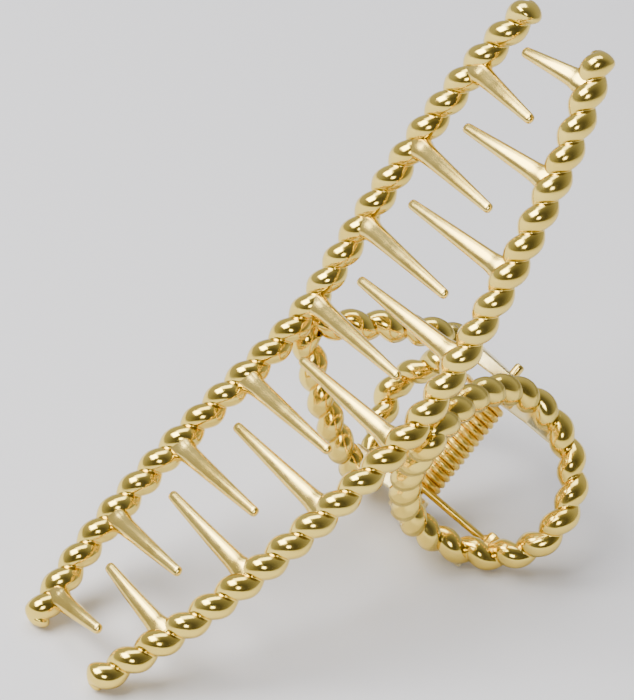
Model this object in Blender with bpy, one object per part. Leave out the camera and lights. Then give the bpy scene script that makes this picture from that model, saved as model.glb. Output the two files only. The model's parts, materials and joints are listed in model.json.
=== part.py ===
"""Metal claw clip: two identical cast rope jaws on a hinge pin with a torsion spring.

Everything is modelled in the clip's own frame, with X along the hinge pin, Y towards
the front jaw and Z from the teeth towards the finger loops.  Each object keeps its
origin on the pin axis.  The finished clip is then laid on a table (world Z = 0), where
it rests on two bar ends and on both finger loops.
"""
import math

import bmesh
import bpy
from mathutils import Matrix, Vector

MM = 0.001
WELD = 0.02 * MM

# rope that both jaws are cast from: one rounded ridge that winds once round for every bead
ROPE_RADIUS = 2.10 * MM
CREASE_RADIUS = 1.25 * MM
RIDGE_POWER = 0.85
BEAD_PITCH = 3.98 * MM
ROPE_SECTION_POINTS = 8
RINGS_PER_BEAD = 5

# rope bar of one jaw
BAR_BEADS = 26
BAR_Y_MIDDLE = 12.45 * MM
BAR_Y_CUBIC = 50.0
BAR_Z_MIDDLE = -27.3 * MM
BAR_SLOPE = 0.235
BAR_APEX_RADIUS = 4.0 * MM
BAR_END_SCALES = (0.55, 0.85)
BAR_RIDGE_ANGLE = math.radians(112.0)

# teeth
TEETH = 8
FIRST_TOOTH_X = 45.5 * MM
TOOTH_PITCH = 11.95 * MM
MIDDLE_TOOTH_GAP = 12.95 * MM
TIP_REACH_MIDDLE = 7.0 * MM
TIP_REACH_SQUARE = 2.0
TIP_DROP = 1.4 * MM
TIP_X_SHRINK = 0.03
TOOTH_ROOT_WIDTH = 2.9 * MM
TOOTH_ROOT_THICKNESS = 2.4 * MM
TOOTH_TIP_RATIO = 0.46
TOOTH_SIDES = 8
TOOTH_NOSE = 0.6 * MM
CAST_GAP = 0.3 * MM

# finger loop: half of its folded centreline, from the bar round to the far edge
LOOP_BEADS = 22
HALF_LOOP = (
    (0.0, 12.6, -22.9),
    (3.4, 11.0, -20.9),
    (6.9, 8.7, -16.2),
    (10.0, 6.95, -9.4),
    (11.1, 7.1, -3.7),
    (10.5, 9.3, 1.0),
    (8.2, 12.7, 4.1),
    (4.4, 16.0, 5.0),
    (0.0, 17.4, 4.5),
)
LOOP_SPLINE_STEPS = 40
LOOP_RIDGE_ANGLE = math.radians(103.0)

# hinge ears
EAR_THICKNESS = 1.6 * MM
EAR_INNER_X = 9.2 * MM
EAR_OUTER_X = 11.1 * MM
EAR_EYE_RADIUS = 2.3 * MM
EAR_BORE_RADIUS = 1.0 * MM
EAR_ROPE_EDGE = ((4.5 * MM, -6.6 * MM), (4.5 * MM, -1.6 * MM))
EAR_EYE_SIDES = 24
EAR_BORE_SIDES = 16

# hinge pin
PIN_RADIUS = 0.7 * MM
PIN_PLAIN_END = 13.6 * MM
PIN_HEAD_RADIUS = 1.25 * MM
PIN_HEAD_INNER = -12.2 * MM
PIN_HEAD_OUTER = -12.9 * MM
PIN_CHAMFER = 0.25 * MM
PIN_SIDES = 16

# torsion spring
WIRE_RADIUS = 0.45 * MM
COIL_RADIUS = 1.85 * MM
COIL_PITCH = 1.02 * MM
COIL_STEPS_PER_TURN = 10
LEG_ANGLE = math.radians(37.8)
COIL_TURNS = 14.0 + LEG_ANGLE / math.pi
LEG_START = 0.4 * MM
LEG_END = 11.2 * MM
LEG_OUTSET = 0.3 * MM

# cast tab that the spring leg bears on, measured along and across the leg
TAB_X = -6.8 * MM
TAB_WIDTH = 1.2 * MM
TAB_OUTLINE = (
    (9.0 * MM, 2.4 * MM),
    (10.9 * MM, 2.7 * MM),
    (11.1 * MM, 3.6 * MM),
    (9.2 * MM, 3.2 * MM),
)

# resting on the table
PITCH_SEARCH = (math.radians(20.0), math.radians(70.0))
PITCH_STEPS = 40

GOLD = (0.83, 0.66, 0.36)
GOLD_ROUGHNESS = 0.18
SPRING_GOLD = (0.80, 0.55, 0.20)
SPRING_ROUGHNESS = 0.25

for old in list(bpy.data.objects):
    bpy.data.objects.remove(old, do_unlink=True)

CLIP = bpy.data.collections.new("claw_clip")
bpy.context.scene.collection.children.link(CLIP)
HALF_TURN = Matrix.Rotation(math.pi, 4, "Z")


def material(name, colour, roughness):
    """A plain metallic Principled material of its own for one node."""
    made = bpy.data.materials.new(name + "_metal")
    made.use_nodes = True
    shader = made.node_tree.nodes["Principled BSDF"]
    shader.inputs["Base Color"].default_value = (*colour, 1.0)
    shader.inputs["Metallic"].default_value = 1.0
    shader.inputs["Roughness"].default_value = roughness
    made.diffuse_color = (*colour, 1.0)
    return made


def add_node(name, mesh, smooth, colour=GOLD, roughness=GOLD_ROUGHNESS, turned=False):
    """Put a mesh into the clip as a named node; the back jaw's are turned half round Z."""
    mesh.name = name
    if turned:
        mesh.transform(HALF_TURN)
    for polygon in mesh.polygons:
        polygon.use_smooth = smooth
    node = bpy.data.objects.new(name, mesh)
    mesh.materials.clear()
    mesh.materials.append(material(name, colour, roughness))
    CLIP.objects.link(node)
    return node


def mesh_of(source):
    """The welded mesh of a curve object with outward faces; the curve object is removed."""
    bpy.context.scene.collection.objects.link(source)
    bpy.context.view_layer.update()
    mesh = bpy.data.meshes.new_from_object(source.evaluated_get(bpy.context.evaluated_depsgraph_get()))
    bpy.data.objects.remove(source)
    bm = bmesh.new()
    bm.from_mesh(mesh)
    bmesh.ops.remove_doubles(bm, verts=bm.verts, dist=WELD)
    bmesh.ops.recalc_face_normals(bm, faces=bm.faces)
    bm.to_mesh(mesh)
    bm.free()
    return mesh


def spline_curve(name, points, cyclic=False, flat=False):
    """A curve object with one POLY spline through the given points."""
    data = bpy.data.curves.new(name, "CURVE")
    data.dimensions = "2D" if flat else "3D"
    add_spline(data, points, cyclic)
    return bpy.data.objects.new(name, data)


def add_spline(data, points, cyclic):
    """Add one more POLY spline to curve data."""
    spline = data.splines.new("POLY")
    spline.points.add(len(points) - 1)
    for slot, point in zip(spline.points, points):
        slot.co = (*point, 1.0)
    spline.use_cyclic_u = cyclic
    return spline


def resample(points, count):
    """Points at equal arc lengths along a polyline, both ends included."""
    lengths = [0.0]
    for first, second in zip(points, points[1:]):
        lengths.append(lengths[-1] + (second - first).length)
    even = []
    piece = 0
    for step in range(count):
        target = lengths[-1] * step / (count - 1)
        while piece < len(points) - 2 and lengths[piece + 1] < target:
            piece += 1
        span = lengths[piece + 1] - lengths[piece]
        even.append(points[piece].lerp(points[piece + 1], (target - lengths[piece]) / span))
    return even


def ridge_reach(angle):
    """Distance from the rope's axis to its surface, angle counted from the top of the ridge."""
    return CREASE_RADIUS + (ROPE_RADIUS - CREASE_RADIUS) * abs(math.cos(0.5 * angle)) ** RIDGE_POWER


def tangent_at(centreline, index, closed):
    """Direction of a centreline at one of its points."""
    last = len(centreline) - 1
    if closed:
        return (centreline[(index + 1) % (last + 1)] - centreline[index - 1]).normalized()
    return (centreline[min(index + 1, last)] - centreline[max(index - 1, 0)]).normalized()


def carried_sides(centreline, closed):
    """A vector across the centreline at each point, starting from Y and carried without twisting."""
    side = Vector((0.0, 1.0, 0.0))
    sides = []
    for index in range(len(centreline)):
        along = tangent_at(centreline, index, closed)
        side = (side - along * side.dot(along)).normalized()
        sides.append(side)
    if closed:
        along = tangent_at(centreline, 0, True)
        last = (side - along * side.dot(along)).normalized()
        slip = math.atan2(last.cross(sides[0]).dot(along), last.dot(sides[0]))
        for index in range(len(centreline)):
            turn = Matrix.Rotation(slip * index / len(centreline), 3, tangent_at(centreline, index, True))
            sides[index] = turn @ sides[index]
    return sides


def rope(name, centreline, ridge_angle, closed=False):
    """Rope swept along a centreline; its ridge starts at ridge_angle and turns once for every bead."""
    count = ROPE_SECTION_POINTS
    rings = len(centreline)
    sides = carried_sides(centreline, closed)
    points = []
    for ring, (middle, side) in enumerate(zip(centreline, sides)):
        other = tangent_at(centreline, ring, closed).cross(side)
        ridge = ridge_angle + 2.0 * math.pi * ring / RINGS_PER_BEAD
        from_end = min(ring, rings - 1 - ring)
        scale = BAR_END_SCALES[from_end] if not closed and from_end < len(BAR_END_SCALES) else 1.0
        for step in range(count):
            angle = 2.0 * math.pi * step / count
            reach = scale * ridge_reach(angle - ridge)
            points.append(middle + reach * (math.cos(angle) * side + math.sin(angle) * other))
    faces = []
    for ring in range(rings if closed else rings - 1):
        here = ring * count
        there = (ring + 1) % rings * count
        for step in range(count):
            following = (step + 1) % count
            faces.append((here + step, here + following, there + following, there + step))
    if not closed:
        faces.append(tuple(reversed(range(count))))
        faces.append(tuple(range((rings - 1) * count, rings * count)))
    mesh = bpy.data.meshes.new(name)
    mesh.from_pydata(points, [], faces)
    return mesh


def bar_point(x):
    """A point of the front bar's centreline: a shallow roof, drawn in towards the ends."""
    run = abs(x)
    y = BAR_Y_MIDDLE - BAR_Y_CUBIC * run ** 3
    z = BAR_Z_MIDDLE - BAR_SLOPE * (math.hypot(run, BAR_APEX_RADIUS) - BAR_APEX_RADIUS)
    return Vector((x, y, z))


def bar_mesh(name):
    """The rope bar of one jaw."""
    length = BAR_BEADS * BEAD_PITCH
    fine = [bar_point(length * (step / 400.0 - 0.5)) for step in range(401)]
    arc = sum((second - first).length for first, second in zip(fine, fine[1:]))
    shrink = length / arc
    fine = [bar_point(shrink * length * (step / 400.0 - 0.5)) for step in range(401)]
    return rope(name, resample(fine, BAR_BEADS * RINGS_PER_BEAD + 1), BAR_RIDGE_ANGLE)


def loop_centreline():
    """Evenly spaced closed centreline of the front finger loop, mirrored about X = 0."""
    half = [Vector(point) * MM for point in HALF_LOOP]
    other = [Vector((-point.x, point.y, point.z)) for point in half[-2:0:-1]]
    corners = half + other
    count = len(corners)
    fine = []
    for index in range(count):
        before, here, after, beyond = (corners[(index + shift) % count] for shift in (-1, 0, 1, 2))
        for step in range(LOOP_SPLINE_STEPS):
            t = step / LOOP_SPLINE_STEPS
            fine.append(0.5 * (2.0 * here + (after - before) * t
                               + (2.0 * before - 5.0 * here + 4.0 * after - beyond) * t ** 2
                               + (3.0 * here - 3.0 * after + beyond - before) * t ** 3))
    fine.append(fine[0])
    return resample(fine, LOOP_BEADS * RINGS_PER_BEAD + 1)[:-1]


def tooth_x(index):
    """Where tooth number index stands along the front bar, counted from the +X end."""
    x = FIRST_TOOTH_X - TOOTH_PITCH * index
    if index >= TEETH // 2:
        x -= MIDDLE_TOOTH_GAP - TOOTH_PITCH
    return x


def tooth_mesh(name, index):
    """A tapering tooth from just inside the bar to its rounded tip past the middle."""
    x = tooth_x(index)
    root = bar_point(x)
    tip = Vector((x * (1.0 - TIP_X_SHRINK), TIP_REACH_SQUARE * x ** 2 - TIP_REACH_MIDDLE, root.z - TIP_DROP))
    along = (tip - root).normalized()
    start = root + along * (ROPE_RADIUS + CAST_GAP)
    length = (tip - start).length
    bm = bmesh.new()
    shaft = length - TOOTH_NOSE
    made = bmesh.ops.create_cone(bm, cap_ends=True, segments=TOOTH_SIDES, depth=shaft, radius1=0.5,
                                 radius2=0.5 * TOOTH_TIP_RATIO)
    bmesh.ops.rotate(bm, verts=made["verts"], matrix=Matrix.Rotation(math.pi / TOOTH_SIDES, 3, "Z"))
    bmesh.ops.translate(bm, verts=made["verts"], vec=(0.0, 0.0, 0.5 * shaft))
    nose = [face for face in bm.faces if min(vert.co.z for vert in face.verts) > 0.5 * shaft]
    bmesh.ops.inset_region(bm, faces=nose, thickness=0.25 * TOOTH_TIP_RATIO, depth=0.0)
    for vert in {vert for face in nose for vert in face.verts}:
        vert.co.z = length
    bmesh.ops.scale(bm, verts=bm.verts, vec=(TOOTH_ROOT_WIDTH, TOOTH_ROOT_THICKNESS, 1.0))
    across = Vector((1.0, 0.0, 0.0)) - along * along.x
    across.normalize()
    frame = Matrix((across, along.cross(across), along)).transposed().to_4x4()
    frame.translation = start
    bmesh.ops.transform(bm, matrix=frame, verts=bm.verts)
    mesh = bpy.data.meshes.new(name)
    bm.to_mesh(mesh)
    bm.free()
    return mesh


def circle(radius, sides):
    """Corners of a regular polygon about the origin."""
    step = 2.0 * math.pi / sides
    return [(radius * math.cos(step * index), radius * math.sin(step * index), 0.0) for index in range(sides)]


def ear_mesh(name, middle_x):
    """Flat hinge ear: a bored eye round the pin, widening to the edge along the loop."""
    low, high = (Vector((*corner, 0.0)) for corner in EAR_ROPE_EDGE)
    outline = [low, high]
    for point in circle(EAR_EYE_RADIUS, EAR_EYE_SIDES):
        corner = Vector(point)
        beyond_high = (corner - high).cross(low - high).z * (Vector() - high).cross(low - high).z
        tangent_low = corner.dot(low) <= EAR_EYE_RADIUS ** 2
        tangent_high = corner.dot(high) <= EAR_EYE_RADIUS ** 2
        if tangent_low and tangent_high and beyond_high > 0.0:
            outline.append(corner)
    source = spline_curve(name + "_outline", [tuple(point) for point in outline], cyclic=True, flat=True)
    add_spline(source.data, circle(EAR_BORE_RADIUS, EAR_BORE_SIDES), True)
    source.data.fill_mode = "BOTH"
    source.data.extrude = 0.5 * EAR_THICKNESS
    mesh = mesh_of(source)
    upright = Matrix(((0.0, 0.0, 1.0, middle_x), (1.0, 0.0, 0.0, 0.0), (0.0, 1.0, 0.0, 0.0), (0.0, 0.0, 0.0, 1.0)))
    mesh.transform(upright)
    return mesh


def pin_mesh(name):
    """Hinge pin: round rod with a flat head at one end and a chamfered plain end."""
    profile = ((0.0, PIN_PLAIN_END), (PIN_RADIUS - PIN_CHAMFER, PIN_PLAIN_END),
               (PIN_RADIUS, PIN_PLAIN_END - PIN_CHAMFER), (PIN_RADIUS, PIN_HEAD_INNER),
               (PIN_HEAD_RADIUS, PIN_HEAD_INNER), (PIN_HEAD_RADIUS, PIN_HEAD_OUTER + 0.5 * PIN_CHAMFER),
               (PIN_HEAD_RADIUS - PIN_CHAMFER, PIN_HEAD_OUTER), (0.0, PIN_HEAD_OUTER))
    bm = bmesh.new()
    corners = [bm.verts.new((radius, 0.0, height)) for radius, height in profile]
    edges = [bm.edges.new(pair) for pair in zip(corners, corners[1:])]
    bmesh.ops.spin(bm, geom=corners + edges, cent=(0.0, 0.0, 0.0), axis=(0.0, 0.0, 1.0),
                   angle=2.0 * math.pi, steps=PIN_SIDES, use_merge=True)
    bmesh.ops.remove_doubles(bm, verts=bm.verts, dist=WELD)
    bmesh.ops.recalc_face_normals(bm, faces=bm.faces)
    bmesh.ops.rotate(bm, verts=bm.verts, matrix=Matrix.Rotation(math.pi / 2.0, 3, "Y"))
    mesh = bpy.data.meshes.new(name)
    bm.to_mesh(mesh)
    bm.free()
    return mesh


def along_leg(run, rise, x):
    """A point measured along the spring leg's direction and across it, away from the other jaw."""
    cos, sin = math.cos(LEG_ANGLE), math.sin(LEG_ANGLE)
    return Vector((x, run * cos + rise * sin, run * sin - rise * cos))


def wire_mesh(name, points):
    """Round wire along a polyline."""
    source = spline_curve(name + "_path", points)
    source.data.bevel_depth = WIRE_RADIUS
    source.data.bevel_resolution = 2
    source.data.use_fill_caps = True
    return mesh_of(source)


def coil_mesh(name):
    """The close-wound body of the torsion spring."""
    steps = round(COIL_TURNS * COIL_STEPS_PER_TURN)
    points = []
    for step in range(steps + 1):
        turn = COIL_TURNS * step / steps
        angle = 2.0 * math.pi * turn
        x = COIL_PITCH * (turn - 0.5 * COIL_TURNS)
        points.append(along_leg(-COIL_RADIUS * math.sin(angle), COIL_RADIUS * math.cos(angle), x))
    return wire_mesh(name, points)


def leg_mesh(name):
    """The spring leg that bears on the front jaw's tab."""
    x = -0.5 * COIL_PITCH * COIL_TURNS - LEG_OUTSET
    return wire_mesh(name, [along_leg(LEG_START, COIL_RADIUS, x), along_leg(LEG_END, COIL_RADIUS, x)])


def tab_mesh(name):
    """Small cast tab on the inside of the loop, over the end of the spring leg."""
    corners = [along_leg(run, rise, 0.0) for run, rise in TAB_OUTLINE]
    source = spline_curve(name + "_outline", [(point.y, point.z, 0.0) for point in corners], cyclic=True, flat=True)
    source.data.fill_mode = "BOTH"
    source.data.extrude = 0.5 * TAB_WIDTH
    mesh = mesh_of(source)
    mesh.transform(Matrix(((0.0, 0.0, 1.0, TAB_X), (1.0, 0.0, 0.0, 0.0), (0.0, 1.0, 0.0, 0.0), (0.0, 0.0, 0.0, 1.0))))
    return mesh


def build_jaw(side, turned):
    """One jaw: bar, finger loop, teeth, ears, spring tab and the spring leg bearing on it."""
    add_node(side + "_rope_bar", bar_mesh(side + "_bar"), True, turned=turned)
    loop = rope(side + "_loop", loop_centreline(), LOOP_RIDGE_ANGLE, closed=True)
    add_node(side + "_finger_loop", loop, True, turned=turned)
    for index in range(TEETH):
        name = "%s_tooth_%d" % (side, index + 1)
        add_node(name, tooth_mesh(name, index), False, turned=turned)
    add_node(side + "_inner_ear", ear_mesh(side + "_inner", EAR_INNER_X), False, turned=turned)
    add_node(side + "_outer_ear", ear_mesh(side + "_outer", -EAR_OUTER_X), False, turned=turned)
    add_node(side + "_spring_tab", tab_mesh(side + "_tab"), False, turned=turned)
    add_node(side + "_spring_leg", leg_mesh(side + "_leg"), True, SPRING_GOLD, SPRING_ROUGHNESS, turned)


def lowest(nodes, pitch):
    """How far the named nodes reach below the pin when the clip is pitched up."""
    up = Vector((math.sin(pitch), 0.0, -math.cos(pitch)))
    return min(vert.co.dot(up) for node in nodes for vert in node.data.vertices)


def rest_pitch():
    """The pitch at which the bar ends and the finger loops touch the table together."""
    bars = [node for node in CLIP.objects if node.name.endswith("_rope_bar")]
    loops = [node for node in CLIP.objects if node.name.endswith("_finger_loop")]
    small, large = PITCH_SEARCH
    for _ in range(PITCH_STEPS):
        middle = 0.5 * (small + large)
        if lowest(bars, middle) > lowest(loops, middle):
            small = middle
        else:
            large = middle
    return 0.5 * (small + large)


build_jaw("front", False)
build_jaw("back", True)
add_node("hinge_pin", pin_mesh("pin"), False)
add_node("spring_coil", coil_mesh("coil"), True, SPRING_GOLD, SPRING_ROUGHNESS)

PITCH = rest_pitch()
LEVEL = Vector((math.cos(PITCH), 0.0, math.sin(PITCH)))
REACH = [vert.co.dot(LEVEL) for part in CLIP.objects for vert in part.data.vertices]
TABLE = Matrix((
    (LEVEL.x, 0.0, LEVEL.z, -0.5 * (min(REACH) + max(REACH))),
    (0.0, -1.0, 0.0, 0.0),
    (LEVEL.z, 0.0, -LEVEL.x, -lowest(list(CLIP.objects), PITCH)),
    (0.0, 0.0, 0.0, 1.0),
))
for part in CLIP.objects:
    part.matrix_world = TABLE
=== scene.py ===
import json
import math

import bpy
import bmesh
import numpy as np
from mathutils import Matrix, Vector


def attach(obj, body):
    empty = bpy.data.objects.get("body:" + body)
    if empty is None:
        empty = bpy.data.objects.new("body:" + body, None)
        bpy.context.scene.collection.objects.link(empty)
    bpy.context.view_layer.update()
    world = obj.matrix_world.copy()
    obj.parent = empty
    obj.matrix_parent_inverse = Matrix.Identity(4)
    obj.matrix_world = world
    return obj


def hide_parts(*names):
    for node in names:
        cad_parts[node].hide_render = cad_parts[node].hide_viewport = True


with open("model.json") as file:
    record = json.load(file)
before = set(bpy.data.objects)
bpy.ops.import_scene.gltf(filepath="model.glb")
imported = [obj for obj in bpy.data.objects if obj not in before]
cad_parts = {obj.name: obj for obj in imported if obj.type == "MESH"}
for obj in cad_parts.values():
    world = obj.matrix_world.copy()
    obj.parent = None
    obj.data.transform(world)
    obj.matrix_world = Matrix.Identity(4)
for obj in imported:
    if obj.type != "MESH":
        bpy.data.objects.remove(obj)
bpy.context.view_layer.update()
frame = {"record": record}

MM = 0.001

# the rope that both jaws are cast from: one fat ridge winding once round for every bead
ROPE_RADIUS = 2.12
CREASE_RADIUS = 1.20
RIDGE_POWER = 0.80
CREASE_SOFTNESS = 0.035
ROPE_SIDES = 48
RINGS_PER_BEAD = 24

# rope bar: a shallow roof drawn in towards its ends, in millimetres
BAR_BEADS = 26
BAR_ARC = 51.74
BAR_Y_MIDDLE = 12.45
BAR_Y_CUBIC = 5.0e-5
BAR_Z_MIDDLE = -27.3
BAR_SLOPE = 0.235
BAR_APEX_RADIUS = 4.0
BAR_END_ROUNDING = 1.5
BAR_RIDGE_ANGLE = math.radians(112.0)

# teeth
TEETH = 8
FIRST_TOOTH_X = 45.5
TOOTH_PITCH = 11.95
MIDDLE_TOOTH_GAP = 12.95
TIP_REACH_MIDDLE = 7.0
TIP_REACH_SQUARE = 2.0e-3
TIP_DROP = 1.4
TIP_X_SHRINK = 0.03
TOOTH_WIDTH = (2.9, 1.3)
TOOTH_THICKNESS = (2.3, 1.05)
TOOTH_SQUARENESS = 2.7
TOOTH_BOW = 0.35
ROOT_FLARE = 0.35
ROOT_FLARE_LENGTH = 0.6
ROPE_SURFACE = 1.8
TOOTH_RINGS = 40
TOOTH_SIDES = 28
TOOTH_RING_CROWDING = 1.35
TOOTH_NOSE = 0.45
ROOT_FLARE_WIDENING = 1.5

# finger loop, half of its centreline from the bar round to the far edge
LOOP_BEADS = 22
HALF_LOOP = (
    (0.0, 13.1, -23.9),
    (3.2, 11.2, -21.2),
    (6.9, 8.7, -16.2),
    (10.0, 6.95, -9.4),
    (11.1, 7.1, -3.7),
    (10.5, 9.3, 1.0),
    (8.2, 12.7, 4.1),
    (4.4, 16.0, 5.0),
    (0.0, 17.4, 4.5),
)
LOOP_STEPS = 60
LOOP_RIDGE_ANGLE = math.radians(103.0)

# flat hinge ears
EAR_THICKNESS = 1.6
EAR_EDGE = 0.22
EAR_INNER_X = 9.2
EAR_OUTER_X = 11.1
EAR_EYE_RADIUS = 2.2
EAR_BORE_RADIUS = 0.84
EAR_ROPE_SIDE = ((6.9, -8.2), (6.8, -5.3), (7.6, -1.7), (9.4, 1.3), (10.8, 2.8))
EAR_EYE_STEPS = 40
EAR_BORE_STEPS = 32
EAR_BEVEL_STEPS = 3
EAR_WELD = 0.002
EAR_ROOT_THICKENING = 0.55
EAR_ROOT_RUN = 7.0

# hinge pin
PIN_RADIUS = 0.7
PIN_PLAIN_END = 13.6
PIN_HEAD_RADIUS = 1.25
PIN_HEAD = (-12.1, -12.9)
PIN_HEAD_DOME = 0.48
PIN_HEAD_FULLNESS = 0.7
PIN_HEAD_CHAMFER = 0.05
PIN_SHOULDER = 0.02
PIN_TIP_ROUNDING = 0.5
PIN_TIP_INSET = 0.35
PIN_TIP_FLAT = 0.1
PIN_TIP_CAP = 0.001
PIN_LEAST_RADIUS = 0.05
PIN_ARC_STEPS = 8
PIN_SIDES = 48

# torsion spring
WIRE_RADIUS = 0.50
COIL_RADIUS = 1.85
COIL_PITCH = 1.02
LEG_ANGLE = math.radians(37.8)
COIL_TURNS = 14.0 + LEG_ANGLE / math.pi
COIL_STEPS = 40
COIL_END_OVERLAP = 0.6
COIL_WIRE_SHARE = 0.985
WIRE_SIDES = 16
WIRE_SQUARENESS = 2.5
WIRE_END_ROUNDING = 0.5
WIRE_LEAST_END = 0.25
LEG_END = 10.5
LEG_OUTSET = 0.3
LEG_SINK = 0.25
LEG_STEPS = 24
LEG_FIRST_STEP = 0.03
LEG_HOOK = 1.1
LEG_HOOK_RUN = 0.35
LEG_HOOK_SWEEP = 0.5
LEG_HOOK_STEPS = 8
LEG_HOOK_FIRST_STEP = 0.2
TAIL_TURNS = 1.25

# spring tab: each point of its spine is (along the leg, across it, thickness)
TAB_X = -7.0
TAB_WIDTH = 2.3
TAB_SPINE = (
    (10.5, 2.9, 0.8),
    (11.0, 3.1, 0.95),
    (11.8, 3.6, 1.1),
    (12.6, 4.4, 1.3),
    (13.6, 5.2, 1.5),
)
TAB_RINGS = 22
TAB_SIDES = 24
TAB_ROUNDNESS = 0.6
TAB_NOSE = 0.6

# surface detail of the plating, in the shader's own units
TINT_SCALE = 180.0
SMEAR_SCALE = 650.0
HAIR_SCALE = 2600.0
HAIR_STRETCH = (1.0, 6.0, 1.6)
HAIR_STRENGTH = 0.05
HAIR_DEPTH = 0.00003
WAVE_DEPTH = 0.0002

JOINT = next(joint for joint in frame["record"]["behaviour"]["joints"] if joint["name"] == "jaw_hinge")
PIN_AXIS = -Vector(JOINT["axis"])
LEVEL = Vector((PIN_AXIS.x, 0.0, PIN_AXIS.z))
TABLE = Matrix((
    (LEVEL.x, 0.0, LEVEL.z, JOINT["pos_m"][0]),
    (0.0, -1.0, 0.0, JOINT["pos_m"][1]),
    (LEVEL.z, 0.0, -LEVEL.x, JOINT["pos_m"][2]),
    (0.0, 0.0, 0.0, 1.0),
))
HALF_TURN = Matrix.Rotation(math.pi, 4, "Z")
TABLE_CONTACT = 0.00001


def unit(vectors):
    """Vectors scaled to length one."""
    return vectors / np.linalg.norm(vectors, axis=-1, keepdims=True)


def tangents(path, closed=False):
    """Unit tangents of a path given as rows of points."""
    if closed:
        return unit(np.roll(path, -1, axis=0) - np.roll(path, 1, axis=0))
    return unit(np.gradient(path, axis=0))


def arc_lengths(path):
    """Distance along an open path at each of its points."""
    return np.concatenate([[0.0], np.cumsum(np.linalg.norm(np.diff(path, axis=0), axis=1))])


def resample(path, count):
    """An open path's points at equal distances."""
    arcs = arc_lengths(path)
    wanted = np.linspace(0.0, arcs[-1], count)
    return np.stack([np.interp(wanted, arcs, path[:, axis]) for axis in range(3)], axis=1)


def carried_frames(path, first, closed=False):
    """Two unit vectors across the path at each point, carried along it without twisting."""
    along = tangents(path, closed)
    side = np.array(first, float)
    sides = []
    for direction in along:
        side = side - direction * side.dot(direction)
        side = side / np.linalg.norm(side)
        sides.append(side)
    sides = np.array(sides)
    if closed:
        last = sides[-1] - along[0] * sides[-1].dot(along[0])
        last = last / np.linalg.norm(last)
        slip = math.atan2(np.cross(last, sides[0]).dot(along[0]), last.dot(sides[0]))
        turn = slip * np.arange(len(path)) / len(path)
        others = np.cross(along, sides)
        sides = sides * np.cos(turn)[:, None] + others * np.sin(turn)[:, None]
    return sides, np.cross(along, sides)


def ring_faces(rings, count, closed=False):
    """Faces that join rings of count vertices each, with a cap at both ends unless closed."""
    faces = []
    for ring in range(rings if closed else rings - 1):
        here = ring * count
        there = (ring + 1) % rings * count
        for index in range(count):
            following = (index + 1) % count
            faces.append((here + index, here + following, there + following, there + index))
    if not closed:
        faces.append(tuple(reversed(range(count))))
        faces.append(tuple(range((rings - 1) * count, rings * count)))
    return faces


def tube(path, sides, others, radii, sections, closed=False):
    """Vertices and faces of a swept tube: radii and section angles are given ring by ring."""
    rings, count = radii.shape
    points = (path[:, None, :] + radii[:, :, None] * (np.cos(sections)[:, :, None] * sides[:, None, :]
              + np.sin(sections)[:, :, None] * others[:, None, :]))
    return points.reshape(-1, 3), ring_faces(rings, count, closed)


def ridge_outline(angles):
    """Distance from the rope's middle to its surface, angles counted from the top of the ridge."""
    rise = (np.cos(0.5 * angles) ** 2 + CREASE_SOFTNESS ** 2) ** (0.5 * RIDGE_POWER)
    return CREASE_RADIUS + (ROPE_RADIUS - CREASE_RADIUS) * rise


def rope(path, sides, others, turns, scales=None, closed=False):
    """The rope along a path; turns is the ridge's angle at each ring."""
    section = 2.0 * math.pi * np.arange(ROPE_SIDES) / ROPE_SIDES
    radii = np.tile(ridge_outline(section), (len(path), 1))
    if scales is not None:
        radii = radii * scales[:, None]
    return tube(path, sides, others, radii, section[None, :] + turns[:, None], closed)


def bar_point(x):
    """The front bar's centreline at x."""
    run = abs(x)
    return np.array((x, BAR_Y_MIDDLE - BAR_Y_CUBIC * run ** 3,
                     BAR_Z_MIDDLE - BAR_SLOPE * (math.hypot(run, BAR_APEX_RADIUS) - BAR_APEX_RADIUS)))


def bar_frame():
    """The bar's path, the vectors across it, the ridge's angle and the distance at each point."""
    fine = np.array([bar_point(x) for x in np.linspace(-BAR_ARC, BAR_ARC, 801)])
    arcs = arc_lengths(fine)
    trim = 0.5 * (arcs[-1] - 2.0 * BAR_ARC)
    keep = (arcs >= trim) & (arcs <= arcs[-1] - trim)
    path = resample(fine[keep], BAR_BEADS * RINGS_PER_BEAD + 1)
    along = tangents(path)
    sides = unit(np.array((0.0, 1.0, 0.0)) - along * along[:, 1:2])
    others = np.cross(along, sides)
    arcs = arc_lengths(path)
    turns = BAR_RIDGE_ANGLE + 2.0 * math.pi * BAR_BEADS * arcs / arcs[-1]
    return path, sides, others, turns, arcs


def bar_mesh():
    """The rope bar with rounded ends."""
    path, sides, others, turns, arcs = bar_frame()
    end = np.minimum(arcs, arcs[-1] - arcs) / BAR_END_ROUNDING
    scales = np.sqrt(np.clip(1.0 - (1.0 - np.clip(end, 0.0, 1.0)) ** 2, 0.02, 1.0))
    return rope(path, sides, others, turns, scales)


def loop_path():
    """The finger loop's closed path, evenly spaced."""
    half = np.array(HALF_LOOP)
    corners = np.vstack([half, half[-2:0:-1] * (-1.0, 1.0, 1.0)])
    count = len(corners)
    fine = []
    for index in range(count):
        before, here, after, beyond = (corners[(index + shift) % count] for shift in (-1, 0, 1, 2))
        for t in np.arange(LOOP_STEPS) / LOOP_STEPS:
            fine.append(0.5 * (2.0 * here + (after - before) * t
                               + (2.0 * before - 5.0 * here + 4.0 * after - beyond) * t ** 2
                               + (3.0 * here - 3.0 * after + beyond - before) * t ** 3))
    fine.append(fine[0])
    return resample(np.array(fine), LOOP_BEADS * RINGS_PER_BEAD + 1)[:-1]


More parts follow.
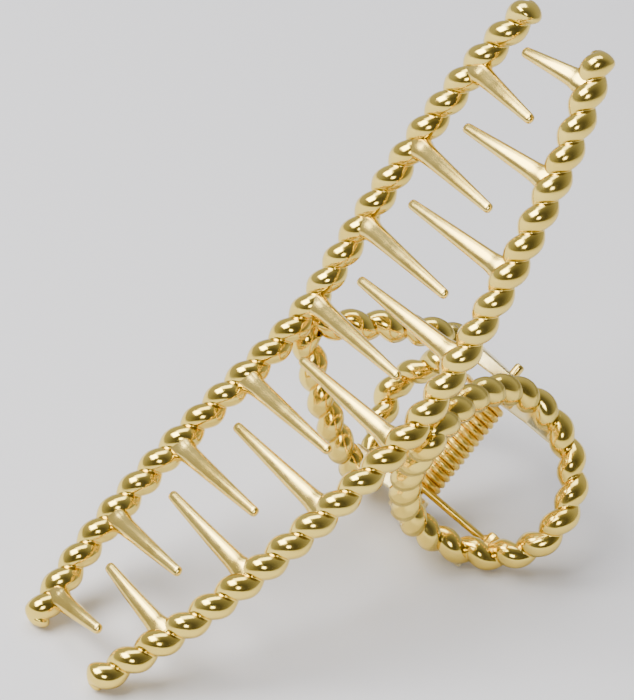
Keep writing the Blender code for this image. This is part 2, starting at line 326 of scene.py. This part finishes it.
def loop_mesh():
    """The rope finger loop."""
    path = loop_path()
    sides, others = carried_frames(path, (0.0, 1.0, 0.0), closed=True)
    turns = LOOP_RIDGE_ANGLE + 2.0 * math.pi * np.arange(len(path)) / RINGS_PER_BEAD
    return rope(path, sides, others, turns, closed=True)


def tooth_x(index):
    """Where a tooth stands along the front bar, counted from the +X end."""
    x = FIRST_TOOTH_X - TOOTH_PITCH * index
    if index >= TEETH // 2:
        x -= MIDDLE_TOOTH_GAP - TOOTH_PITCH
    return x


def tooth_mesh(index):
    """One tooth: it flares into the rope at its root and tapers to a rounded tip."""
    x = tooth_x(index)
    root = bar_point(x)
    tip_y = TIP_REACH_SQUARE * x ** 2 - TIP_REACH_MIDDLE
    tip = np.array((x * (1.0 - TIP_X_SHRINK), tip_y, root[2] - TIP_DROP))
    length = np.linalg.norm(tip - root)
    along = (tip - root) / length
    wide = unit(np.array((1.0, 0.0, 0.0)) - along * along[0])
    thick = np.cross(along, wide)
    share = np.linspace(0.0, 1.0, TOOTH_RINGS)
    run = length * (1.0 - (1.0 - share) ** TOOTH_RING_CROWDING)
    run[-1] = length
    path = root + along * run[:, None] - thick * (TOOTH_BOW * np.sin(math.pi * run / length))[:, None]
    grown = run / length
    flare = ROOT_FLARE * np.exp(-np.clip(run - ROPE_SURFACE, 0.0, None) / ROOT_FLARE_LENGTH)
    width = TOOTH_WIDTH[0] + (TOOTH_WIDTH[1] - TOOTH_WIDTH[0]) * grown + ROOT_FLARE_WIDENING * flare
    thickness = TOOTH_THICKNESS[0] + (TOOTH_THICKNESS[1] - TOOTH_THICKNESS[0]) * grown + flare
    to_tip = np.clip(1.0 - (length - run) / (TOOTH_NOSE * TOOTH_WIDTH[1]), 0.0, 1.0)
    nose = np.sqrt(np.clip(1.0 - to_tip ** 2, 0.01, 1.0))
    angles = 2.0 * math.pi * (np.arange(TOOTH_SIDES) + 0.5) / TOOTH_SIDES
    power = TOOTH_SQUARENESS
    verts = []
    for ring in range(TOOTH_RINGS):
        a = 0.5 * width[ring] * nose[ring]
        b = 0.5 * thickness[ring] * nose[ring]
        u = a * np.sign(np.cos(angles)) * np.abs(np.cos(angles)) ** (2.0 / power)
        v = b * np.sign(np.sin(angles)) * np.abs(np.sin(angles)) ** (2.0 / power)
        verts.append(path[ring] + u[:, None] * wide + v[:, None] * thick)
    return np.concatenate(verts), ring_faces(TOOTH_RINGS, TOOTH_SIDES)


def ear_mesh(middle_x):
    """Flat ear with rounded edges, from the bored eye to the loop's rope, where it is thicker."""
    corners = [Vector((y, z, 0.0)) for y, z in EAR_ROPE_SIDE]
    low, high = corners[0], corners[-1]
    outline = list(corners)
    for step in range(EAR_EYE_STEPS):
        angle = 2.0 * math.pi * step / EAR_EYE_STEPS
        point = Vector((EAR_EYE_RADIUS * math.cos(angle), EAR_EYE_RADIUS * math.sin(angle), 0.0))
        if point.dot(low) <= EAR_EYE_RADIUS ** 2 and point.dot(high) <= EAR_EYE_RADIUS ** 2:
            outline.append(point)
    bore = []
    for step in range(EAR_BORE_STEPS):
        angle = 2.0 * math.pi * step / EAR_BORE_STEPS
        bore.append(Vector((EAR_BORE_RADIUS * math.cos(angle), EAR_BORE_RADIUS * math.sin(angle), 0.0)))
    data = bpy.data.curves.new("ear_outline", "CURVE")
    data.dimensions = "2D"
    data.fill_mode = "BOTH"
    for ring in (outline, bore):
        spline = data.splines.new("POLY")
        spline.points.add(len(ring) - 1)
        for slot, point in zip(spline.points, ring):
            slot.co = (point.x, point.y, 0.0, 1.0)
        spline.use_cyclic_u = True
    data.extrude = 0.5 * EAR_THICKNESS - EAR_EDGE
    data.bevel_depth = EAR_EDGE
    data.bevel_resolution = EAR_BEVEL_STEPS
    data.offset = -EAR_EDGE
    source = bpy.data.objects.new("ear_outline", data)
    bpy.context.scene.collection.objects.link(source)
    bpy.context.view_layer.update()
    mesh = bpy.data.meshes.new_from_object(source.evaluated_get(bpy.context.evaluated_depsgraph_get()))
    bpy.data.objects.remove(source)
    bm = bmesh.new()
    bm.from_mesh(mesh)
    bmesh.ops.remove_doubles(bm, verts=bm.verts, dist=EAR_WELD)
    bmesh.ops.recalc_face_normals(bm, faces=bm.faces)
    bm.verts.index_update()
    verts = np.array([(vert.co.z, vert.co.x, vert.co.y) for vert in bm.verts])
    beyond_eye = np.hypot(verts[:, 1], verts[:, 2]) - EAR_EYE_RADIUS
    verts[:, 0] *= 1.0 + EAR_ROOT_THICKENING * np.clip(beyond_eye / EAR_ROOT_RUN, 0.0, 1.0)
    verts[:, 0] += middle_x
    faces = [tuple(vert.index for vert in face.verts) for face in bm.faces]
    bm.free()
    bpy.data.meshes.remove(mesh)
    return verts, faces


def lathe_x(profile, steps):
    """A solid of revolution about X from (x, radius) points, closed at both ends."""
    verts = []
    for x, radius in profile:
        for step in range(steps):
            angle = 2.0 * math.pi * step / steps
            verts.append((x, radius * math.cos(angle), radius * math.sin(angle)))
    return np.array(verts), ring_faces(len(profile), steps)


def pin_mesh():
    """The hinge pin: a domed head at one end and a rounded plain end at the other."""
    profile = []
    for step in range(PIN_ARC_STEPS + 1):
        angle = 0.5 * math.pi * step / PIN_ARC_STEPS
        profile.append((PIN_HEAD[1] + PIN_HEAD_DOME * (1.0 - math.cos(angle)),
                        max(PIN_LEAST_RADIUS, PIN_HEAD_RADIUS * math.sin(angle) ** PIN_HEAD_FULLNESS)))
    tip_start = PIN_PLAIN_END - PIN_TIP_ROUNDING
    profile.append((PIN_HEAD[0], PIN_HEAD_RADIUS - PIN_HEAD_CHAMFER))
    profile.append((PIN_HEAD[0] + PIN_SHOULDER, PIN_RADIUS))
    profile.append((tip_start, PIN_RADIUS))
    for step in range(1, PIN_ARC_STEPS + 1):
        angle = 0.5 * math.pi * step / PIN_ARC_STEPS
        profile.append((tip_start + PIN_TIP_ROUNDING * math.sin(angle),
                        max(PIN_LEAST_RADIUS, PIN_RADIUS - PIN_TIP_INSET * (1.0 - math.cos(angle)))))
    profile.append((PIN_PLAIN_END + PIN_TIP_CAP, PIN_TIP_FLAT))
    return lathe_x(profile, PIN_SIDES)


def along_leg(run, rise, x):
    """A point measured along the spring leg and across it."""
    cos, sin = math.cos(LEG_ANGLE), math.sin(LEG_ANGLE)
    return np.array((x, run * cos + rise * sin, run * sin - rise * cos))


def wire_mesh(path, radius, first):
    """Spring wire, a little squarer than round, with rounded ends."""
    path = np.array(path)
    sides, others = carried_frames(path, first)
    arcs = arc_lengths(path)
    end = np.clip(np.minimum(arcs, arcs[-1] - arcs) / (WIRE_END_ROUNDING * radius), 0.0, 1.0)
    scale = np.sqrt(np.clip(1.0 - (1.0 - end) ** 2, WIRE_LEAST_END, 1.0))
    section = 2.0 * math.pi * np.arange(WIRE_SIDES) / WIRE_SIDES
    round_off = (np.abs(np.cos(section)) ** WIRE_SQUARENESS + np.abs(np.sin(section)) ** WIRE_SQUARENESS)
    radii = radius * scale[:, None] * (round_off ** (-1.0 / WIRE_SQUARENESS))[None, :]
    return tube(path, sides, others, radii, np.tile(section, (len(path), 1)))


def coil_point(turn):
    """A point on the coil's centreline, turn counted from the front leg's end."""
    angle = 2.0 * math.pi * turn
    return along_leg(-COIL_RADIUS * math.sin(angle), COIL_RADIUS * math.cos(angle),
                     COIL_PITCH * (turn - 0.5 * COIL_TURNS))


def coil_mesh():
    """The coil between the two legs; each leg has the coil's outer turns of its own."""
    count = int((COIL_TURNS - 2.0 * COIL_END_OVERLAP) * COIL_STEPS)
    turns = np.linspace(COIL_END_OVERLAP, COIL_TURNS - COIL_END_OVERLAP, count)
    return wire_mesh([coil_point(turn) for turn in turns], WIRE_RADIUS * COIL_WIRE_SHARE, (1.0, 0.0, 0.0))


def leg_mesh():
    """The spring leg on the front jaw: the end turns of the coil, the straight wire and its hook."""
    path = [coil_point(turn) for turn in np.linspace(TAIL_TURNS, 0.0, int(TAIL_TURNS * COIL_STEPS))]
    x = path[-1][0]
    for share in np.linspace(LEG_FIRST_STEP, 1.0, LEG_STEPS):
        path.append(along_leg(LEG_END * share, COIL_RADIUS - LEG_SINK * share, x - LEG_OUTSET * share))
    base = path[-1]
    hook = along_leg(LEG_HOOK_RUN, 0.0, LEG_HOOK)
    sweep = along_leg(LEG_HOOK_SWEEP, 0.0, 0.0)
    for share in np.linspace(LEG_HOOK_FIRST_STEP, 1.0, LEG_HOOK_STEPS):
        path.append(base + hook * share + sweep * math.sin(share * math.pi * 0.5))
    return wire_mesh(path, WIRE_RADIUS, (1.0, 0.0, 0.0))


def tab_mesh():
    """The cast lug over the spring leg, rounded and growing into the rope."""
    path = np.array([along_leg(run, rise, TAB_X) for run, rise, _ in TAB_SPINE])
    fine = resample(path, TAB_RINGS)
    arcs = arc_lengths(path)
    half = np.interp(np.linspace(0.0, arcs[-1], TAB_RINGS), arcs, [0.5 * entry[2] for entry in TAB_SPINE])
    wide = np.array((1.0, 0.0, 0.0))
    thick = np.cross(tangents(fine), wide)
    nose = np.clip(arc_lengths(fine) / TAB_NOSE, 0.0, 1.0)
    scale = np.sqrt(np.clip(1.0 - (1.0 - nose) ** 2, 0.05, 1.0))
    angles = 2.0 * math.pi * (np.arange(TAB_SIDES) + 0.5) / TAB_SIDES
    across = np.sign(np.cos(angles)) * np.abs(np.cos(angles)) ** TAB_ROUNDNESS
    through = np.sign(np.sin(angles)) * np.abs(np.sin(angles)) ** TAB_ROUNDNESS
    verts = []
    for ring in range(TAB_RINGS):
        u = 0.5 * TAB_WIDTH * scale[ring] * across
        v = half[ring] * scale[ring] * through
        verts.append(fine[ring] + u[:, None] * wide + v[:, None] * thick[ring])
    return np.concatenate(verts), ring_faces(TAB_RINGS, TAB_SIDES)


def node(tree, kind, place, **values):
    """Add a shader node and set its properties."""
    made = tree.nodes.new(kind)
    made.location = place
    for key, value in values.items():
        setattr(made, key, value)
    return made


def ramp(tree, place, stops):
    """A colour ramp with the given (position, colour) stops."""
    made = node(tree, "ShaderNodeValToRGB", place)
    band = made.color_ramp
    while len(band.elements) < len(stops):
        band.elements.new(0.5)
    for element, (position, colour) in zip(band.elements, stops):
        element.position = position
        element.color = (*colour, 1.0)
    return made


def gold(name, light, deep, smooth, rough, wave, wave_scale):
    """Polished gold plating: faint colour drift, soft polishing waves and hairline scratches."""
    made = bpy.data.materials.new(name)
    made.use_nodes = True
    tree = made.node_tree
    shader = tree.nodes["Principled BSDF"]
    shader.inputs["Metallic"].default_value = 1.0
    coords = node(tree, "ShaderNodeTexCoord", (-1400, 0))
    drift = node(tree, "ShaderNodeTexNoise", (-1000, 300))
    drift.inputs["Scale"].default_value = TINT_SCALE
    drift.inputs["Detail"].default_value = 4.0
    tint = ramp(tree, (-700, 300), ((0.32, deep), (0.62, light)))
    smear = node(tree, "ShaderNodeTexNoise", (-1000, 0))
    smear.inputs["Scale"].default_value = SMEAR_SCALE
    smear.inputs["Detail"].default_value = 6.0
    spread = node(tree, "ShaderNodeMapRange", (-700, 0))
    spread.inputs["From Min"].default_value = 0.3
    spread.inputs["From Max"].default_value = 0.7
    spread.inputs["To Min"].default_value = smooth
    spread.inputs["To Max"].default_value = rough
    stretch = node(tree, "ShaderNodeMapping", (-1200, -300))
    stretch.inputs["Scale"].default_value = HAIR_STRETCH
    hair = node(tree, "ShaderNodeTexNoise", (-1000, -300))
    hair.inputs["Scale"].default_value = HAIR_SCALE
    hair.inputs["Detail"].default_value = 2.0
    waves = node(tree, "ShaderNodeTexNoise", (-1000, -600))
    waves.inputs["Scale"].default_value = wave_scale
    waves.inputs["Detail"].default_value = 2.0
    fine = node(tree, "ShaderNodeBump", (-500, -300))
    fine.inputs["Strength"].default_value = HAIR_STRENGTH
    fine.inputs["Distance"].default_value = HAIR_DEPTH
    broad = node(tree, "ShaderNodeBump", (-250, -450))
    broad.inputs["Strength"].default_value = wave
    broad.inputs["Distance"].default_value = WAVE_DEPTH
    link = tree.links.new
    link(coords.outputs["Object"], drift.inputs["Vector"])
    link(coords.outputs["Object"], smear.inputs["Vector"])
    link(coords.outputs["Object"], stretch.inputs["Vector"])
    link(coords.outputs["Object"], waves.inputs["Vector"])
    link(stretch.outputs["Vector"], hair.inputs["Vector"])
    link(drift.outputs["Fac"], tint.inputs["Fac"])
    link(tint.outputs["Color"], shader.inputs["Base Color"])
    link(smear.outputs["Fac"], spread.inputs["Value"])
    link(spread.outputs["Result"], shader.inputs["Roughness"])
    link(hair.outputs["Fac"], fine.inputs["Height"])
    link(waves.outputs["Fac"], broad.inputs["Height"])
    link(fine.outputs["Normal"], broad.inputs["Normal"])
    link(broad.outputs["Normal"], shader.inputs["Normal"])
    return made


ROPE_GOLD = gold("polished_gold_plate", (0.98, 0.74, 0.165), (0.92, 0.66, 0.12), 0.11, 0.19, 0.10, 420.0)
TOOTH_GOLD = gold("brushed_gold_plate", (0.94, 0.71, 0.20), (0.87, 0.62, 0.14), 0.17, 0.25, 0.07, 380.0)
# the ears are cast in the same metal as the rope; their paler, whiter gold is a painted highlight
# standing in for the key light they reflect
EAR_GOLD_PAINTED_HIGHLIGHT = gold("flat_gold_plate_painted_highlight", (0.98, 0.84, 0.44), (0.94, 0.78, 0.36), 0.24, 0.34, 0.05, 300.0)
PIN_GOLD = gold("pin_gold", (0.92, 0.69, 0.20), (0.84, 0.59, 0.14), 0.16, 0.28, 0.08, 500.0)
# the spring's deeper, darker gold is painted shade standing in for the dim surroundings its wire
# reflects, not a different plating
SPRING_GOLD_PAINTED_SHADE = gold("spring_gold_painted_shade", (0.90, 0.66, 0.13), (0.79, 0.53, 0.08), 0.24, 0.36, 0.05, 700.0)


def add_piece(name, shape, material, body, nodes, turned=False, smooth=True):
    """Make one piece from millimetre vertices in the clip's frame and hang it on its body.

    Nothing may pass through the table, so the lowest beads are flattened where they touch it.
    """
    verts, faces = shape
    mesh = bpy.data.meshes.new(name)
    mesh.from_pydata([tuple(point) for point in np.asarray(verts) * MM], [], faces)
    mesh.transform(TABLE @ HALF_TURN if turned else TABLE)
    for vert in mesh.vertices:
        vert.co.z = max(vert.co.z, TABLE_CONTACT)
    bm = bmesh.new()
    bm.from_mesh(mesh)
    bmesh.ops.recalc_face_normals(bm, faces=bm.faces)
    bm.to_mesh(mesh)
    bm.free()
    mesh.update()
    for polygon in mesh.polygons:
        polygon.use_smooth = smooth
    mesh.materials.append(material)
    piece = bpy.data.objects.new(name, mesh)
    bpy.context.scene.collection.objects.link(piece)
    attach(piece, body)
    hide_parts(*nodes)
    return piece


def build_jaw(side, turned):
    """Every cast piece of one jaw and the spring leg that bears on it."""
    body = side + "_jaw"
    add_piece(side + "_bar_rope", bar_mesh(), ROPE_GOLD, body, [side + "_rope_bar"], turned)
    add_piece(side + "_loop_rope", loop_mesh(), ROPE_GOLD, body, [side + "_finger_loop"], turned)
    for index in range(TEETH):
        label = "%s_tooth_%d" % (side, index + 1)
        add_piece(label + "_cast", tooth_mesh(index), TOOTH_GOLD, body, [label], turned)
    for place, middle_x in (("inner", EAR_INNER_X), ("outer", -EAR_OUTER_X)):
        label = "%s_%s_ear" % (side, place)
        add_piece(label + "_plate", ear_mesh(middle_x), EAR_GOLD_PAINTED_HIGHLIGHT, body, [label], turned, False)
    add_piece(side + "_spring_lug", tab_mesh(), ROPE_GOLD, body, [side + "_spring_tab"], turned)
    add_piece(side + "_spring_wire", leg_mesh(), SPRING_GOLD_PAINTED_SHADE, body, [side + "_spring_leg"], turned)


build_jaw("front", False)
build_jaw("back", True)
add_piece("pin_rod", pin_mesh(), PIN_GOLD, "front_jaw", ["hinge_pin"])
add_piece("spring_winding", coil_mesh(), SPRING_GOLD_PAINTED_SHADE, "front_jaw", ["spring_coil"])


# plain pale floor
floor_mesh = bpy.data.meshes.new("studio_floor")
FLOOR_REACH = 2.0
floor_corners = [(x * FLOOR_REACH, y * FLOOR_REACH, 0.0) for x, y in ((-1, -1), (1, -1), (1, 1), (-1, 1))]
floor_mesh.from_pydata(floor_corners, [], [(0, 1, 2, 3)])
floor = bpy.data.objects.new("studio_floor", floor_mesh)
bpy.context.scene.collection.objects.link(floor)
floor_material = bpy.data.materials.new("pale_floor")
floor_material.use_nodes = True
floor_shader = floor_material.node_tree.nodes["Principled BSDF"]
floor_shader.inputs["Base Color"].default_value = (0.74, 0.735, 0.765, 1.0)
floor_shader.inputs["Roughness"].default_value = 0.75
floor_mesh.materials.append(floor_material)

# soft studio light: the room is darkest on the side that the clip faces
DARK_SIDE = (-0.45, -0.75, 0.48)
SKY_STOPS = (
    (0.0, (0.62, 0.62, 0.63)),
    (0.5, (0.46, 0.46, 0.47)),
    (0.74, (0.25, 0.25, 0.25)),
    (0.93, (0.09, 0.088, 0.085)),
)
world = bpy.data.worlds.new("studio_world")
bpy.context.scene.world = world
world.use_nodes = True
sky = world.node_tree
backdrop = sky.nodes["Background"]
backdrop.inputs["Strength"].default_value = 1.0
sight = node(sky, "ShaderNodeTexCoord", (-900, 0))
toward = node(sky, "ShaderNodeVectorMath", (-700, 0), operation="DOT_PRODUCT")
toward.inputs[1].default_value = DARK_SIDE
shade = ramp(sky, (-450, 0), SKY_STOPS)
spread = node(sky, "ShaderNodeMapRange", (-620, -200))
spread.inputs["From Min"].default_value = -1.0
sky.links.new(sight.outputs["Generated"], toward.inputs[0])
sky.links.new(toward.outputs["Value"], spread.inputs["Value"])
sky.links.new(spread.outputs["Result"], shade.inputs["Fac"])
sky.links.new(shade.outputs["Color"], backdrop.inputs["Color"])


def softbox(name, place, target, size, power, colour):
    """A large square area light aimed at a point."""
    data = bpy.data.lights.new(name, "AREA")
    data.shape = "RECTANGLE"
    data.size, data.size_y = size
    data.energy = power
    data.color = colour
    lamp = bpy.data.objects.new(name, data)
    lamp.location = place
    lamp.rotation_euler = (Vector(target) - Vector(place)).to_track_quat("-Z", "Y").to_euler()
    bpy.context.scene.collection.objects.link(lamp)
    return lamp


# window and overhead light the clip; the card is what the flat rims of the ears reflect
MIDDLE = (0.0, 0.0, 0.03)
softbox("window", (-0.42, 0.20, 0.62), MIDDLE, (0.55, 0.42), 10.0, (1.0, 0.99, 0.97))
softbox("overhead", (0.1, 0.3, 0.8), MIDDLE, (0.6, 0.4), 4.0, (0.97, 0.98, 1.0))
softbox("card", (-0.48, -0.55, 0.46), MIDDLE, (0.24, 0.24), 2.2, (1.0, 0.99, 0.97))

# camera at the photograph's angle
CAMERA_PLACE = (-0.2008, -0.2282, 0.2514)
CAMERA_TURN = (54.328, -6.341, -36.670)
CAMERA_LENS = 170.7
camera_data = bpy.data.cameras.new("camera")
camera_data.sensor_fit = "HORIZONTAL"
camera_data.sensor_width = 36.0
camera_data.lens = CAMERA_LENS
camera_data.clip_start = 0.01
camera_data.clip_end = 20.0
camera = bpy.data.objects.new("camera", camera_data)
camera.location = CAMERA_PLACE
camera.rotation_euler = [math.radians(turn) for turn in CAMERA_TURN]
bpy.context.scene.collection.objects.link(camera)
bpy.context.scene.camera = camera

bpy.context.view_layer.update()
